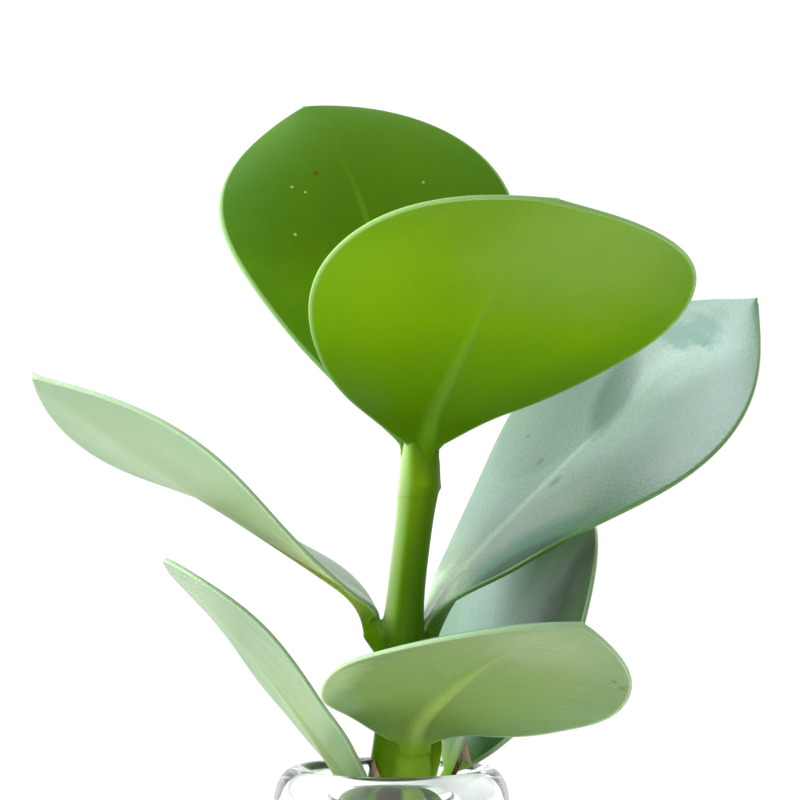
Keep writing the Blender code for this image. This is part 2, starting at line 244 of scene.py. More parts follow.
def new_piece(name: str, points: np.ndarray, faces: list, marks: dict[str, np.ndarray]) -> bpy.types.Object:
    """Make a smooth-shaded mesh piece.

    Args:
        name: The piece's name.
        points: One row for each vertex.
        faces: Vertex numbers of each face.
        marks: Values kept on the vertices for the materials, one number or three for each.

    Returns:
        The piece, linked to the scene.
    """
    mesh = bpy.data.meshes.new(name)
    mesh.from_pydata(points.tolist(), [], faces)
    mesh.shade_smooth()
    for mark, values in marks.items():
        single = values.ndim == 1
        attribute = mesh.attributes.new(mark, "FLOAT" if single else "FLOAT_VECTOR", "POINT")
        attribute.data.foreach_set("value" if single else "vector", values.astype(np.float32).ravel())
    mesh.validate()
    piece = bpy.data.objects.new(name, mesh)
    bpy.context.scene.collection.objects.link(piece)
    return piece


def fuse(piece: bpy.types.Object, voxel: float, rounds: int) -> None:
    """Melt a piece's closed skins into one, and round off what is narrower than a few voxels.

    Args:
        piece: The piece.
        voxel: The size of the new skin's faces.
        rounds: Rounds of smoothing.
    """
    melt = piece.modifiers.new("Melt", "REMESH")
    melt.mode = "VOXEL"
    melt.voxel_size = voxel
    relax = piece.modifiers.new("Relax", "SMOOTH")
    relax.iterations = rounds
    graph = bpy.context.evaluated_depsgraph_get()
    mesh = bpy.data.meshes.new_from_object(piece.evaluated_get(graph))
    piece.modifiers.clear()
    piece.data = mesh
    mesh.shade_smooth()


def ring_faces(ring_count: int, around: int) -> list:
    """Make quads between closed rings of points.

    Args:
        ring_count: Number of rings.
        around: Number of points in each.

    Returns:
        Vertex numbers of each face.
    """
    faces = []
    for i in range(ring_count - 1):
        for k in range(around):
            n = (k + 1) % around
            faces.append((i * around + k, i * around + n, (i + 1) * around + n, (i + 1) * around + k))
    return faces


def tube_faces(ring_count: int, around: int) -> list:
    """The same quads, with a face over each end."""
    ends = [tuple(row * around + k for k in range(around)) for row in (0, ring_count - 1)]
    return ring_faces(ring_count, around) + [ends[0][::-1], ends[1]]


def place_piece(piece: bpy.types.Object, material: bpy.types.Material, node: str) -> None:
    """Dress a piece and put it in the place of a node.

    Args:
        piece: The piece.
        material: Its material.
        node: The node that it stands for.
    """
    piece.data.materials.append(material)
    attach(piece, "root")
    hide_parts(node)
    log.info("%s: %d faces, in the place of %s", piece.name, len(piece.data.polygons), node)


def arc(centre: Pair, radii: Pair, start: float, end: float, count: int) -> list:
    """Points on an ellipse in a turned profile.

    Args:
        centre: Its radius from the axis and its height.
        radii: The ellipse's half sizes, across and up.
        start: First angle in degrees, from outwards, anticlockwise.
        end: Last angle.
        count: Number of points.

    Returns:
        Pairs of radius and height.
    """
    angles = np.radians(np.linspace(start, end, count))
    return [(centre[0] + radii[0] * cos(a), centre[1] + radii[1] * sin(a)) for a in angles]


def shoulder_radius(height: float, neck: float, body: float) -> float:
    """The radius of the round shoulder at a height, between a neck's radius and a body's."""
    share = min(max((NECK_BOTTOM - height) / (NECK_BOTTOM - SHOULDER_BOTTOM), 0), 1)
    return neck + (body - neck) * (1 - cos(pi * share)) / 2


def level_ring(radius: float | np.ndarray, angles: np.ndarray) -> np.ndarray:
    """A level ring of points about the origin, of one radius or one for each angle."""
    return np.stack([radius * np.cos(angles), radius * np.sin(angles), 0 * angles], 1)


def shoulder(neck: float, body: float, count: int) -> list:
    """Points down the round shoulder, as pairs of radius and height."""
    heights = np.linspace(NECK_BOTTOM, SHOULDER_BOTTOM, count)
    return [(shoulder_radius(z, neck, body), z) for z in heights]


def revolve(profile: list, sides: int) -> tuple[np.ndarray, list]:
    """Turn a profile about Z into a closed skin.

    Args:
        profile: Pairs of radius and height, down the outer side. The first and last lie on the axis.
        sides: Number of sides.

    Returns:
        The points and the faces.
    """
    angles = np.arange(sides) * 2 * pi / sides
    circle = np.stack([np.cos(angles), np.sin(angles)], 1)
    rings = [np.column_stack([circle * radius, np.full(sides, height)]) for radius, height in profile[1:-1]]
    count = len(rings)
    points = np.vstack(rings + [[[0, 0, profile[0][1]]], [[0, 0, profile[-1][1]]]])
    faces = [face[::-1] for face in ring_faces(count, sides)]
    first, last = count * sides, count * sides + 1
    for k in range(sides):
        n = (k + 1) % sides
        faces.append((first, k, n))
        faces.append((last, (count - 1) * sides + n, (count - 1) * sides + k))
    return points, faces


def stem_centre(height: float) -> np.ndarray:
    """Find the stem's axis at a height, on a smooth curve through its route.

    Args:
        height: Height above the base.

    Returns:
        The place of the axis.
    """
    heights = np.array([row[0] for row in STEM_ROUTE])
    places = np.array([row[1:] for row in STEM_ROUTE])
    slopes = np.gradient(places, heights, axis=0)
    i = int(np.clip(np.searchsorted(heights, height) - 1, 0, len(heights) - 2))
    span = heights[i + 1] - heights[i]
    s = (height - heights[i]) / span
    start, end = places[i], places[i + 1]
    across = start + (end - start) * s**2 * (3 - 2 * s)
    across = across + span * s * (1 - s) * (slopes[i] * (1 - s) - slopes[i + 1] * s)
    return np.array([across[0], across[1], height])


def stem_radius(height: float) -> float:
    """The stem's radius at a height, with its swollen nodes."""
    swelling = sum(size * np.exp(-(((height - at) / reach) ** 2)) for at, size, reach in STEM_SWELLINGS)
    return STEM_RADIUS + swelling


class Age(Enum):
    """How old a leaf is."""

    YOUNG = "young_leaf"
    MATURE = "mature_leaf"


class StalkFaces(Enum):
    """The faces of a leaf that its stalk's colour runs out onto."""

    BOTH = "both"
    UNDER = "under"


@dataclass(frozen=True)
class Patch:
    """A spot or a zone of another colour on a blade, with an uneven edge: a real spot, or a zone of painted
    shade or highlight.

    Its middle and its half sizes are in millimetres along and across the blade, and its turn in degrees.
    """

    along: float
    across: float
    long: float
    wide: float
    colour: str
    strength: float = 0.85
    softness: float = 0.5
    turn: float = 0.0
    ragged: float = 0.8

    def layer(self, graph: Graph, place: Socket) -> tuple[Socket, str]:
        """Build the patch as a layer of colour.

        Args:
            graph: The leaf's graph.
            place: The place on the blade.

        Returns:
            How much of it shows, and its colour.
        """
        middle, size = (self.along * MM, self.across * MM, 0), (self.long * MM, self.wide * MM, 1)
        reach = graph.reach(place, middle, size, radians(self.turn))
        uneven = graph.uneven(place, min(self.long, self.wide) * 0.8 * MM, 3.0)
        even = graph.add_node("Math", (uneven, 0.5), operation="SUBTRACT")
        reach = graph.add_node("Math", (even, self.ragged, reach), operation="MULTIPLY_ADD")
        edges = (1 - self.softness, 1 + self.softness)
        return graph.add_node("MapRange", (reach, *edges, self.strength, 0.0), **SMOOTH), self.colour


@dataclass(frozen=True)
class LeafFinish:
    """Clusia leaf: thick and fleshy under a waxed cuticle, satin rather than glossy.

    Colours run from the stalk to the tip. Roughness and coat are those of plant wax. A relief finer than
    half a millimetre is drawn that coarse, so that it shows.
    """

    name: str
    upper: Stops
    under: Stops
    stalk: str
    upper_rib: str
    under_rib: str
    # a darker colour towards the margin, with its amount and how far in it reaches: painted shade where the
    # blade curves down
    rim_shade: str
    margin: str
    rim_shade_amount: float = 0.3
    rim_shade_reach: Pair = (13 * MM, 1 * MM)
    rib_amount: float = 0.8
    rib_half_widths: Pair = (1.7 * MM, 0.3 * MM)
    margin_amount: float = 0.5
    stalk_end: float = 0.085
    stalk_faces: StalkFaces = StalkFaces.BOTH
    roughness: float = 0.4
    specular: float = 0.5
    coat: float = 0.0
    coat_roughness: float = 0.12
    flesh: float = 0.25
    wrinkle: float = 0.06 * MM
    patches: tuple[Patch, ...] = ()
    mottle_size: float = 9 * MM
    mottle_shift: float = 0.16
    grain_size: float = 0.4 * MM
    grain_amount: float = 0.09
    grain_relief: float = 0.3
    streak_width: float = 1.1 * MM
    streak_length: float = 11.0
    streak_slant: float = 1.5
    streak_amount: float = 0.1

    def material(self, length: float) -> bpy.types.Material:
        """Build the material of a leaf.

        Args:
            length: The leaf's length.

        Returns:
            The material, which reads the marks on the leaf's vertices.
        """
        material, graph, _ = new_material(self.name)
        add = graph.add_node
        blade = add("Attribute", (), "Vector", attribute_name="blade")
        upper = add("Attribute", (), "Fac", attribute_name="upper")
        along, across, margin = add("SeparateXYZ", (blade,)).node.outputs
        share = add("Math", (along, length), operation="DIVIDE")
        side = add("Math", (across,), operation="ABSOLUTE")
        place = add("CombineXYZ", (along, across))
        mottle = graph.uneven(place, self.mottle_size, 3.0)
        grain = graph.uneven(place, self.grain_size)
        streak = self.streaks(graph, along, across, side)

        start = add("Math", (share, self.mottle_shift / 2), operation="SUBTRACT")
        shifted = add("Math", (mottle, self.mottle_shift, start), operation="MULTIPLY_ADD")
        under, over = (add("ValToRGB", (shifted,), stops=stops) for stops in (self.under, self.upper))
        # painted shade: a darker colour towards the margin
        rim_shaded = add("MapRange", (margin, *self.rim_shade_reach, 0.0, self.rim_shade_amount), **SMOOTH)
        near_stem = add("MapRange", (share, self.stalk_end * 1.6, self.stalk_end * 0.85), **SMOOTH)
        if self.stalk_faces is StalkFaces.UNDER:
            lower = add("Math", (1.0, upper), operation="SUBTRACT")
            near_stem = add("Math", (near_stem, lower), operation="MULTIPLY")
        colour = graph.overlaid(under, [
            (upper, over),
            (rim_shaded, self.rim_shade),
            self.midrib(graph, share, side, upper),
            (near_stem, self.stalk),
            *(patch.layer(graph, place) for patch in self.patches),
        ])
        least = 1 - self.streak_amount / 2
        value = add("Math", (streak, self.streak_amount, least), operation="MULTIPLY_ADD")
        even = add("Math", (grain, 0.5), operation="SUBTRACT")
        value = add("Math", (even, self.grain_amount, value), operation="MULTIPLY_ADD")
        colour = add("HueSaturation", {"Value": value, "Color": colour})
        past_stalk = (share, self.stalk_end * 0.6, self.stalk_end * 1.6, 0.0, self.margin_amount)
        past_stalk = add("MapRange", past_stalk, **SMOOTH)
        rim = add("MapRange", (margin, 0.05 * MM, 0.5 * MM, past_stalk, 0.0), **SMOOTH)
        colour = graph.overlaid(colour, [(rim, self.margin)])

        relief = add("Math", (grain, self.grain_relief, streak), operation="MULTIPLY_ADD")
        rough = add("MapRange", (mottle, 0.2, 0.8, self.roughness * 0.85, self.roughness * 1.15), **SMOOTH)
        skin = add("BsdfPrincipled", {
            "Base Color": colour,
            "Roughness": rough,
            "IOR": 1.45,
            "Specular IOR Level": self.specular,
            "Subsurface Weight": self.flesh,
            "Subsurface Radius": (0.5, 1.0, 0.2),
            "Subsurface Scale": 1 * MM,
            "Coat Weight": add("Math", (upper, self.coat), operation="MULTIPLY"),
            "Coat Roughness": self.coat_roughness,
            "Coat IOR": 1.45,
            "Normal": add("Bump", {"Strength": 0.5, "Distance": self.wrinkle, "Height": relief}),
        })
        add("OutputMaterial", {"Surface": skin})
        return material

    def streaks(self, graph: Graph, along: Socket, across: Socket, side: Socket) -> Socket:
        """Faint uneven streaks that follow the side veins, at a narrow angle to the midrib.

        Args:
            graph: The leaf's graph.
            along: The place along the blade.
            across: The place across it.
            side: How far it is from the midrib.

        Returns:
            A number around one half.
        """
        run = graph.add_node("Math", (side, -self.streak_slant, along), operation="MULTIPLY_ADD")
        slanted = graph.add_node("CombineXYZ", (run, across))
        return graph.uneven(slanted, self.streak_width, 3.0, (1, self.streak_length, 1))

    def midrib(self, graph: Graph, share: Socket, side: Socket, upper: Socket) -> tuple[Socket, Socket]:
        """The midrib as a layer: a pale band that narrows from the stalk and fades before the tip.

        Args:
            graph: The leaf's graph.
            share: The place along the blade, as a share of its length.
            side: How far it is from the midrib.
            upper: Whether it is on the upper face.

        Returns:
            How much of the band shows, and its colour.
        """
        width = graph.add_node("MapRange", (share, 0.0, 0.9, *self.rib_half_widths), **SMOOTH)
        off = graph.add_node("Math", (side, width), operation="DIVIDE")
        mask = graph.add_node("MapRange", (off, 0.4, 1.5, 1.0, 0.0), **SMOOTH)
        fading = graph.add_node("MapRange", (share, 0.15, 0.9, self.rib_amount, 0.0), **SMOOTH)
        amount = graph.add_node("Math", (mask, fading), operation="MULTIPLY")
        return amount, graph.add_node("Mix", {0: upper, 6: self.under_rib, 7: self.upper_rib}, **MIX)


@dataclass(frozen=True)
class Nick:
    """A shallow step in a blade's outline: its side, 1 or -1, and shares of the length and the half width.

    One with a depth below nothing makes the blade wider.
    """

    side: int
    at: float
    reach: float
    depth: float


@dataclass(frozen=True)
class LeafForm:
    """One leaf's form, as in the solids. Angles are in degrees, and pairs run from stalk to tip."""

    node: str
    base: Triple
    azimuth: float
    sweep: float
    start: float
    rise: float
    curl: float
    length: float
    width: float
    roll: Pair
    fold: Pair
    cup: Pair
    wedge: float
    rounding: float
    tip: float
    lean: float = 0.0
    stalk_width: float = 5.6 * MM
    stalk_length: float = 8 * MM
    stalk_depth: float = 4.2 * MM
    stalk_heel: float = 0.35
    channel: float = 0.0
    rib_runout: float = 2.2
    nicks: tuple[Nick, ...] = ()
    ruffle: float = 0.25 * MM
    phase: float = 0.0


@dataclass
class Leaf:
    """One leaf: a thick blade on a short stalk that grows out of the stem."""

    form: LeafForm
    finish: LeafFinish
    age: Age
    stations: int = 96
    columns: int = 61
    edge_points: int = 5
    blade_thickness: float = 1.15 * MM
    margin_thickness: float = 0.85 * MM
    groove_depth: float = 0.08 * MM
    groove_width: float = 1.3 * MM
    crease_width: float = 3.5 * MM
    steps: int = 400
    stub_rings: int = 24
    stub_sink: float = 0.35 * MM

    def centre_line(self, shares: np.ndarray) -> tuple[np.ndarray, np.ndarray, np.ndarray]:
        """Follow the leaf from its stalk to its tip.

        Args:
            shares: Shares of the leaf's length.

        Returns:
            Places, directions to the side and directions out of the upper face.
        """
        form = self.form
        t = np.linspace(0, 1, self.steps + 1)
        bend = smooth_step(t, 0.22, 0.0)
        elevation = np.radians(form.rise + (form.start - form.rise) * bend + form.curl * t**2)
        azimuth = np.radians(form.azimuth + form.sweep * t)
        outward = np.stack([np.cos(azimuth), np.sin(azimuth), 0 * azimuth], 1)
        ahead = np.cos(elevation)[:, None] * outward
        ahead[:, 2] = np.sin(elevation)
        steps = (ahead[1:] + ahead[:-1]) / 2 * form.length / self.steps
        places = np.array(form.base) + np.vstack([np.zeros(3), np.cumsum(steps, axis=0)])
        level = np.stack([-np.sin(azimuth), np.cos(azimuth), 0 * azimuth], 1)
        upward = np.cross(ahead, level)
        roll = np.radians(form.roll[0] + (form.roll[1] - form.roll[0]) * t)[:, None]
        side = np.cos(roll) * level + np.sin(roll) * upward
        normal = np.cos(roll) * upward - np.sin(roll) * level
        places, side, normal = (
            np.stack([np.interp(shares, t, row[:, k]) for k in range(3)], 1) for row in (places, side, normal)
        )
        return places, side, normal

    def half_widths(self, t: np.ndarray, u: np.ndarray) -> np.ndarray:
        """Work out the half width at each station and column, with the outline's nicks.

        Args:
            t: The stations, as shares of the length.
            u: The columns, from -1 at one margin to 1 at the other.

        Returns:
            A row for each station.
        """
        form = self.form
        stalk = form.stalk_length / form.length
        along = np.clip((t - stalk) / (1 - stalk), 0, 1)
        peak = (form.wedge / (form.wedge + form.tip * form.rounding)) ** (1 / form.rounding)
        greatest = peak**form.wedge * (1 - peak**form.rounding) ** form.tip
        blade = form.width / 2 * along**form.wedge * (1 - along**form.rounding) ** form.tip / greatest
        halves = blade[:, None] * (1 + np.sign(u) * form.lean)[None, :]
        for nick in form.nicks:
            change = nick.depth * np.exp(-(((t - nick.at) / nick.reach) ** 2))
            halves = halves * np.where(np.sign(u)[None, :] == nick.side, 1 - change[:, None], 1)
        stalk_half = form.stalk_width / 2 * np.sqrt(1 - t)
        return np.sqrt(halves**2 + stalk_half[:, None] ** 2)

    def thickness(self, t: np.ndarray, u: np.ndarray, across: np.ndarray, half: np.ndarray) -> np.ndarray:
        """Work out the thickness: a deep stalk that runs out into a rib under a thin blade.

        Args:
            t: The stations, as shares of the length.
            u: The columns, from -1 at one margin to 1 at the other.
            across: Distance of each point from the midrib.
            half: Half width at each point.

        Returns:
            A row for each station.
        """
        form = self.form
        rib_half = form.stalk_width / 2 * (1 - 0.55 * np.minimum(t / 0.5, 1))
        near = np.clip(1 - (across / np.minimum(rib_half[:, None], half)) ** 2, 0, 1)
        rib = near ** (0.5 + 1.5 * np.minimum(t / 0.2, 1))[:, None]
        heel = form.stalk_heel + (1 - form.stalk_heel) * np.minimum(t / 0.05, 1)
        depth = form.stalk_depth * heel * (1 - t) ** form.rib_runout
        deeper = np.maximum(depth - self.margin_thickness * (1 - t), 0)
        blade = self.margin_thickness + (self.blade_thickness - self.margin_thickness) * (1 - np.abs(u) ** 4)
        return np.minimum(blade[None, :], 1.6 * half) + deeper[:, None] * rib

    def rings(self, t: np.ndarray) -> tuple[np.ndarray, dict[str, np.ndarray]]:
        """Closed rings of points at stations: over the upper face, round each rim and back below.

        Args:
            t: The stations, as shares of the length.

        Returns:
            The points of each ring, and the place on the blade of each point.
        """
        form = self.form
        s = np.abs(np.linspace(-1, 1, self.columns))
        u = np.sign(np.linspace(-1, 1, self.columns)) * (0.35 * s + 0.65 * s**2 * (3 - 2 * s))
        places, side, normal = self.centre_line(t)
        full = self.half_widths(t, u)
        half = np.maximum(full - self.margin_thickness / 2, 0.25 * full)
        channel = form.channel * np.maximum(1 - t / 0.4, 0) ** 2
        fold = np.radians(form.fold[0] + (form.fold[1] - form.fold[0]) * t + channel)[:, None]
        cup = np.radians(form.cup[0] + (form.cup[1] - form.cup[0]) * t)[:, None]
        bent = fold - cup * np.abs(u)[None, :]
        across = half * (np.sin(fold) - np.sin(bent)) / cup
        wave = np.sin(2 * pi * 2.3 * t[:, None] + form.phase + 1.3 * np.sign(u)[None, :])
        ruffle = form.ruffle * wave * np.abs(u)[None, :] ** 2 * smooth_step(t, 0.15, 0.4)[:, None]
        groove = self.groove_depth * np.exp(-((across / self.groove_width) ** 2))
        groove = groove * smooth_step(t, 0.9, 0.3)[:, None]
        crease = self.crease_width * smooth_step(t, 0.08, 0.25)[:, None] + 0.01 * MM
        rounded = np.tan(fold) * (np.sqrt(across**2 + crease**2) - crease - np.abs(across))
        height = half * (np.cos(bent) - np.cos(fold)) / cup + rounded + ruffle - groove
        upper = places[:, None] + (np.sign(u)[None, :] * across)[..., None] * side[:, None]
        upper = upper + height[..., None] * normal[:, None]
        thick = self.thickness(t, u, across, half)
        lower = upper - thick[..., None] * normal[:, None]
        angles = np.radians(np.linspace(90, -90, self.edge_points + 2)[1:-1])

        def rim(column: int, sign: int) -> np.ndarray:
            """Round the edge along one margin, from the upper face to the lower one.

            Args:
                column: The margin's column.
                sign: Its side.

            Returns:
                The edge's points at each station.
            """
            centre = (upper[:, column] + lower[:, column]) / 2
            radius = (thick[:, column] / 2)[:, None]
            lean = bent[:, column][:, None]
            outward = sign * np.cos(lean) * side + np.sin(lean) * normal
            return np.stack([centre + radius * (cos(a) * outward + sin(a) * normal) for a in angles], 1)

        points = np.concatenate([upper, rim(-1, 1), lower[:, ::-1], rim(0, -1)[:, ::-1]], 1)
        inner = (1 - np.abs(u))[None, :] * half
        to_tip = (1 - t)[:, None] * form.length
        inner = inner * to_tip / np.sqrt(inner**2 + to_tip**2 + (0.01 * MM) ** 2)
        ends = np.zeros((len(t), self.edge_points))
        signed = u[None, :] * half
        sideways = [signed, ends + signed[:, -1:], signed[:, ::-1], ends + signed[:, :1]]
        margin = np.concatenate([inner, ends, inner[:, ::-1], ends], 1)
        along = np.repeat((t * form.length)[:, None], points.shape[1], 1)
        turn = (1 + np.sin(angles)) / 2
        facing = np.concatenate([np.ones(self.columns), turn, np.zeros(self.columns), turn[::-1]])
        marks = {
            "blade": np.stack([along, np.concatenate(sideways, 1), margin], 2).reshape(-1, 3),
            "upper": np.tile(facing, len(t)),
        }
        return points, marks

    def build(self) -> None:
        """Build the leaf, with each vertex's place on the blade kept as a mark, and place it."""
        t = np.sin(np.linspace(0, 0.9985, self.stations) * pi / 2) ** 1.4
        points, marks = self.rings(t)
        count = points.shape[1]
        faces = ring_faces(len(t), count)
        faces.append(tuple(range(count)))
        faces.append(tuple((len(t) - 1) * count + k for k in range(count))[::-1])
        name = self.form.node.replace("leaf_", "") + "_leaf"
        piece = new_piece(name, points.reshape(-1, 3), faces, marks)
        place_piece(piece, self.finish.material(self.form.length), self.form.node)

    def stub(self, end: float, proud: float) -> np.ndarray:
        """The foot of the stalk, to be fused with the stem.

        Args:
            end: How far up the stalk it goes, as a share of the leaf's length.
            proud: How far it stands off the stalk at the stem. It sinks into the stalk at its end.

        Returns:
            Rings of points, from inside the stem outwards.
        """
        t = np.linspace(0, end, self.stub_rings)
        rings, _ = self.rings(t)
        centres = rings.mean(1, keepdims=True)
        radii = np.linalg.norm(rings - centres, axis=2).mean(1)
        growth = proud * (1 - (t / end) ** 6) - self.stub_sink * smooth_step(t / end, 0.8, 1.0)
        rings = centres + (rings - centres) * (1 + growth / radii)[:, None, None]
        back = (rings[0] - rings[2]).mean(0)
        back = back / np.linalg.norm(back)
        foot = centres[0, 0]
        aside = foot - stem_centre(foot[2])
        roots = []
        for size, way in STALK_ROOT:
            middle = stem_centre(foot[2] + back[2] * way) + aside * size
            roots.append(middle + (rings[0] - foot) * size)
        return np.concatenate([roots, rings])


@dataclass(frozen=True)
class StemFinish:
    """Green shoot: smooth satin skin with a painted highlight on the window's side and painted shade on the
    other side, and a corky brown patch at the mouth.

    The skin's colours run from the cut end to the tip.
    """

    name: str = "clusia stem, smooth green skin and cork"
    skin: Stops = (
        (0.0, "5b5a2c"), (0.43, "56661f"), (0.59, "648410"), (0.66, "749e00"), (0.75, "5a8600"),
        (0.84, "669400"), (0.89, "76a200"), (0.95, "8eb200"), (1.0, "669600"),
    )
    # painted highlight: a pale band, coloured like wax bloom, on the window's side above a height; painted
    # shade: a deeper green on the other side
    bloom: Stops = ((0.26, "84bc00"), (0.56, "a6cc64"), (0.95, "bcd494"))
    highlight_height: Pair = (144 * MM, 150 * MM)
    lee_shade: str = "3c5c00"
    # where stalks grow into the stem, in millimetres: middle, half sizes and the stalk's own colour
    feet: tuple[tuple[Triple, Triple, str], ...] = (
        ((4.4, -5.0, 118.0), (4.0, 5.0, 10.0), "93bb2c"),
        ((9.5, 3.0, 116.0), (2.6, 5.0, 8.0), "8fc000"),
        ((-8.5, -1.5, 114.0), (5.0, 5.0, 8.0), "8aa860"),
        ((-5.5, -0.8, 146.0), (4.5, 5.0, 8.0), "74a404"),
    )
    cork: str = "4a3a24"
    cork_middle: Triple = (-0.5 * MM, -4.0 * MM, 111 * MM)
    cork_reach: Triple = (2.6 * MM, 3.5 * MM, 6 * MM)
    joints: tuple[float, ...] = (171.7 * MM, 138.0 * MM)
    joint_colour: str = "3f5f0a"
    roughness: float = 0.36
    cork_roughness: float = 0.85
    streak_width: float = 0.7 * MM
    streak_length: float = 8
    flake_size: float = 1.4 * MM
    relief_depth: float = 0.12 * MM

    def material(self, low: float, high: float) -> bpy.types.Material:
        """Build the stem's material.

        Args:
            low: Height of the cut end.
            high: Height of the tip.

        Returns:
            The material, which reads the mark on the stem's vertices.
        """
        material, graph, place = new_material(self.name)
        add = graph.add_node
        height = add("SeparateXYZ", (place,), "Z")
        above = add("Math", (height, low), operation="SUBTRACT")
        share = add("Math", (above, high - low), operation="DIVIDE")
        streak = graph.uneven(place, self.streak_width, 3.0, (1, 1, self.streak_length))
        flake = graph.uneven(place, self.flake_size, 5.0)
        value = add("Math", (streak, 0.12, 0.94), operation="MULTIPLY_ADD")
        green = add("ValToRGB", (share,), stops=self.skin)
        green = add("HueSaturation", {"Value": value, "Color": green})
        # painted highlight on the window's side and painted shade on the other side, from the mark of how far
        # left each point lies
        left = add("Attribute", (), "Fac", attribute_name="left")
        lit = add("MapRange", (left, 0.1, 0.55), **SMOOTH)
        high_up = add("MapRange", (height, *self.highlight_height), **SMOOTH)
        waxed = add("Math", (lit, high_up), operation="MULTIPLY")
        layers = [
            (waxed, add("ValToRGB", (left,), stops=self.bloom)),
            (add("MapRange", (left, 0.0, -0.8, 0.0, 0.4), **SMOOTH), self.lee_shade),
        ]
        for joint in self.joints:
            off = add("Math", (height, joint), operation="SUBTRACT")
            off = add("Math", (off,), operation="ABSOLUTE")
            band = add("MapRange", (off, 0.1 * MM, 0.4 * MM, 0.15, 0.0), **SMOOTH)
            layers.append((band, self.joint_colour))
        for middle, size, colour in self.feet:
            reach = graph.reach(place, tuple(m * MM for m in middle), tuple(s * MM for s in size))
            layers.append((add("MapRange", (reach, 1.15, 0.75), **SMOOTH), colour))
        reach = graph.reach(place, self.cork_middle, self.cork_reach)
        ragged = add("Math", (flake, 0.8, reach), operation="MULTIPLY_ADD")
        corky = add("MapRange", (ragged, 1.6, 1.2), **SMOOTH)
        layers.append((corky, self.cork))
        relief = add("Math", (corky, flake, streak), operation="MULTIPLY_ADD")
        skin = add("BsdfPrincipled", {
            "Base Color": graph.overlaid(green, layers),
            "Roughness": add("MapRange", (corky, 0.0, 1.0, self.roughness, self.cork_roughness), **SMOOTH),
            "IOR": 1.45,
            "Specular IOR Level": 0.15,
            "Subsurface Weight": 0.6,
            "Subsurface Radius": (0.6, 1.0, 0.1),
            "Subsurface Scale": 1.5 * MM,
            "Normal": add("Bump", {"Strength": 0.3, "Distance": self.relief_depth, "Height": relief}),
        })
        add("OutputMaterial", {"Surface": skin})
        return material


@dataclass
class Stem:
    """The fleshy shoot, swollen at each pair of stalks, with the feet of the stalks grown into it."""

    leaves: tuple[Leaf, ...]
    finish: StemFinish = field(default_factory=StemFinish)
    sides: int = 64
    rings: int = 260
    spur_rings: int = 24
    stub_length: float = 7 * MM
    stub_proud: float = 0.2 * MM
    end_rounding: float = 0.6 * MM
    tip_rise: float = 9 * MM
    tip_taper: float = 0.2
    tip_lean: float = 0.05
    voxel: float = 0.3 * MM
    rounds: int = 22
    shrinkage: float = 0.09 * MM

    def __post_init__(self) -> None:
        """Find the stem's ends, and the angles of the points round it."""
        self.low, self.high = (corner.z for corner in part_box("stem"))
        self.angles = np.arange(self.sides) * 2 * pi / self.sides

    def shoot(self) -> np.ndarray:
        """Rings of points from the cut end up to the tip, a little uneven and rounded at both ends.

        Returns:
            The rings, from the lowest up.
        """
        rings, top = [], self.high + self.tip_rise
        for height in np.linspace(self.low, top, self.rings):
            over = max(height - self.high, 0)
            centre = stem_centre(height - over) + np.array([self.tip_lean, 0, 1]) * over
            twist = height / (9 * MM)
            uneven = 1 + 0.015 * np.sin(2 * self.angles + twist) + 0.008 * np.sin(5 * self.angles + 1)
            taper = 1 - self.tip_taper * over / self.tip_rise
            radius = (stem_radius(height - over) + self.shrinkage) * uneven * taper
            end = min(height - self.low, top - height) / self.end_rounding
            rings.append(centre + level_ring(radius * min(1.0, 0.8 + 0.2 * end), self.angles))
        return np.array(rings)

    def spur(self, low: Triple, bend: Triple, high: Triple, radius: float) -> np.ndarray:
        """A ridge where a low stalk runs down along the stem.

        Args:
            low: Its lower end, in millimetres.
            bend: The place that draws its middle outwards.
            high: Its upper end.
            radius: Its radius.

        Returns:
            Rings of points.
        """
        rings = []
        for share in np.linspace(0, 1, self.spur_rings):
            size = radius * MM * np.sqrt(1 - (2 * share - 1) ** 6) + 0.01 * MM
            weights = ((1 - share) ** 2, 2 * share * (1 - share), share**2)
            middle = sum(np.array(point) * MM * weight for point, weight in zip((low, bend, high), weights))
            rings.append(middle + level_ring(size, self.angles))
        return np.array(rings)

    def mark_sides(self, mesh: bpy.types.Mesh) -> None:
        """Keep on each vertex how far it lies to the left of the stem's axis.

        The mark is a share of the stem's radius, and nothing out on the stalks.

        Args:
            mesh: The stem's mesh.
        """
        shares = []
        for vertex in mesh.vertices:
            height = min(max(vertex.co.z, self.low), self.high)
            shares.append((stem_centre(height)[0] - vertex.co.x) / stem_radius(height))
        shares = np.clip(shares, -1, 1) * smooth_step(np.abs(shares), 1.35, 1.1)
        left = mesh.attributes.new("left", "FLOAT", "POINT")
        left.data.foreach_set("value", shares.astype(np.float32))

    def build(self) -> None:
        """Build the stem with its spurs and the feet of the leaves' stalks, and place it."""
        tubes = [(self.shoot(), 1)]
        for leaf in self.leaves:
            tubes.append((leaf.stub(self.stub_length / leaf.form.length, self.stub_proud), -1))
        tubes += [(self.spur(*spur), 1) for spur in SPURS]
        points, faces, count = [], [], 0
        for rings, turn in tubes:
            faces += [tuple(count + k for k in face)[::turn] for face in tube_faces(*rings.shape[:2])]
            points.append(rings.reshape(-1, 3))
            count += len(points[-1])
        piece = new_piece("shoot_stem", np.vstack(points), faces, {})
        fuse(piece, self.voxel, self.rounds)
        self.mark_sides(piece.data)
        place_piece(piece, self.finish.material(self.low, self.high + self.tip_rise), "stem")


